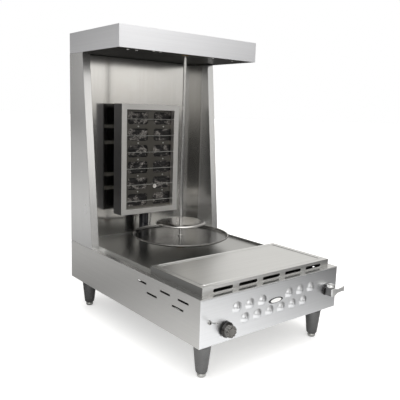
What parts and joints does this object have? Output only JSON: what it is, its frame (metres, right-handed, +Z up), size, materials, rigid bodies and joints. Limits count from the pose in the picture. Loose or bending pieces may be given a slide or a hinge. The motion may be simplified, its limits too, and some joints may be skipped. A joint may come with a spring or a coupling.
{
  "type": "vertical rotisserie broiler",
  "caption": "Countertop upright spit broiler: gas radiant heater on a post, turning spit with drip pan and disc, side columns, overhanging canopy, raised lift-off deck, four legs.",
  "frame": {"origin": "on the floor at the centre of the whole footprint, lever and gas inlet included", "axes": "+Z up, +X to the right seen from the front, +Y towards the back panel; the front faces -Y"},
  "size_m": [0.5334, 0.7686, 0.9144],
  "materials": {
    "panel_steel": "brushed stainless sheet",
    "dark_liner": "heat-darkened steel",
    "well_steel": "polished stainless, warm and reflective",
    "leg_metal": "dark die-cast metal",
    "foot_metal": "bright cast foot",
    "bright_steel": "polished stainless",
    "bronze": "sintered bronze",
    "zinc": "zinc-plated steel",
    "gearbox_metal": "painted cast case",
    "motor_metal": "black enamel",
    "post_black": "gloss black tube",
    "burner_metal": "heat-dulled stainless",
    "tile_ceramic": "sooted radiant ceramic and mesh",
    "burner_cast": "black cast gas chamber",
    "ceramic_white": "white insulator with a metal tip",
    "valve_brass": "machined brass",
    "knob_black": "gloss black moulding",
    "knob_metal": "fluted metal-look grip",
    "pipe_metal": "black steel gas pipe",
    "switch_metal": "nickel-plated switch",
    "cock_metal": "dark cock body on a black rose",
    "lever_cast": "cast aluminium handle",
    "badge_face": "blank pale plate with a dark rim"
  },
  "bodies": {
    "base": {"base_pan": "panel_steel", "left_side_panel": "panel_steel", "right_side_panel": "panel_steel", "front_panel": "panel_steel", "rear_panel": "panel_steel", "top_frame": "panel_steel", "left_column": "panel_steel", "right_column": "panel_steel", "back_panel": "panel_steel", "rear_cover": "panel_steel", "canopy_shell": "panel_steel", "canopy_liner": "dark_liner", "rear_well": "well_steel", "leg_front_left": "leg_metal", "leg_front_right": "leg_metal", "leg_rear_left": "leg_metal", "leg_rear_right": "leg_metal", "leg_nuts": "zinc", "rear_cover_screws": "zinc", "bearing_plate": "zinc", "motor_bracket": "zinc", "post_socket": "zinc", "top_bearing": "bronze", "shaft_bush": "bronze", "thrust_washer": "bronze", "gearbox": "gearbox_metal", "motor": "motor_metal", "heater_post": "post_black", "deck_burner": "burner_metal", "gas_valve": "valve_brass", "inlet_pipe": "pipe_metal", "toggle_switch": "switch_metal", "front_cock": "cock_metal", "badge_plate": "badge_face"},
    "heater": {"heater_housing": "panel_steel", "heater_frame": "panel_steel", "burner_face": "burner_metal", "burner_screws": "bright_steel", "radiant_tiles": "tile_ceramic", "burner_body": "burner_cast", "guard_rods": "bright_steel", "igniter": "ceramic_white", "rear_straps": "zinc", "pivot_sleeve": "zinc", "burner_tube": "bright_steel"},
    "turntable": {"drive_shaft": "bright_steel"},
    "pan": {"drip_pan": "well_steel"},
    "spit": {"spit_rod": "bright_steel"},
    "disc": {"meat_disc": "bright_steel", "disc_screw": "bright_steel"},
    "deck": {"deck_plate": "panel_steel"},
    "stem": {"valve_stem": "bright_steel"},
    "knob": {"knob_skirt": "knob_black", "knob_grip": "knob_metal"},
    "toggle": {"toggle_lever": "switch_metal"},
    "lever": {"cock_lever": "lever_cast"},
    "foot_front_left_body": {"foot_front_left": "foot_metal"},
    "foot_front_right_body": {"foot_front_right": "foot_metal"},
    "foot_rear_left_body": {"foot_rear_left": "foot_metal"},
    "foot_rear_right_body": {"foot_rear_right": "foot_metal"}
  },
  "joints": [
    {"name": "heater_swivel", "type": "hinge", "parent": "base", "child": "heater", "pos_m": [-0.0187, 0.2881, 0.32], "axis": [0, 0, 1], "range_deg": [-12, 12]},
    {"name": "spit_drive", "type": "hinge", "parent": "base", "child": "turntable", "pos_m": [0, 0.0901, 0.23], "axis": [0, 0, 1], "continuous": true},
    {"name": "pan_lift", "type": "slide", "parent": "turntable", "child": "pan", "axis": [0, 0, 1], "range_m": [0, 0.02]},
    {"name": "spit_lift", "type": "slide", "parent": "turntable", "child": "spit", "axis": [0, 0, 1], "range_m": [0, 0.025]},
    {"name": "disc_height", "type": "slide", "parent": "spit", "child": "disc", "axis": [0, 0, 1], "range_m": [0, 0.2]},
    {"name": "deck_lift", "type": "slide", "parent": "base", "child": "deck", "axis": [0, 0, 1], "range_m": [0, 0.05]},
    {"name": "knob_push", "type": "slide", "parent": "base", "child": "stem", "axis": [0, 1, 0], "range_m": [0, 0.003], "stiffness_N_per_m": 600},
    {"name": "knob_turn", "type": "hinge", "parent": "stem", "child": "knob", "pos_m": [-0.181, -0.3619, 0.1355], "axis": [0, -1, 0], "range_deg": [0, 180]},
    {"name": "toggle_throw", "type": "hinge", "parent": "base", "child": "toggle", "pos_m": [-0.2366, -0.3534, 0.1657], "axis": [1, 0, 0], "range_deg": [0, 30]},
    {"name": "lever_turn", "type": "hinge", "parent": "base", "child": "lever", "pos_m": [0.216, -0.3809, 0.163], "axis": [0, 1, 0], "range_deg": [0, 90]},
    {"name": "foot_screw_front_left", "type": "hinge", "parent": "base", "child": "foot_front_left_body", "pos_m": [-0.2207, -0.3079, 0.01], "axis": [0, 0, 1], "continuous": true},
    {"name": "foot_screw_front_right", "type": "hinge", "parent": "base", "child": "foot_front_right_body", "pos_m": [0.2207, -0.3079, 0.01], "axis": [0, 0, 1], "continuous": true},
    {"name": "foot_screw_rear_left", "type": "hinge", "parent": "base", "child": "foot_rear_left_body", "pos_m": [-0.2207, 0.3153, 0.01], "axis": [0, 0, 1], "continuous": true},
    {"name": "foot_screw_rear_right", "type": "hinge", "parent": "base", "child": "foot_rear_right_body", "pos_m": [0.2207, 0.3153, 0.01], "axis": [0, 0, 1], "continuous": true}
  ]
}
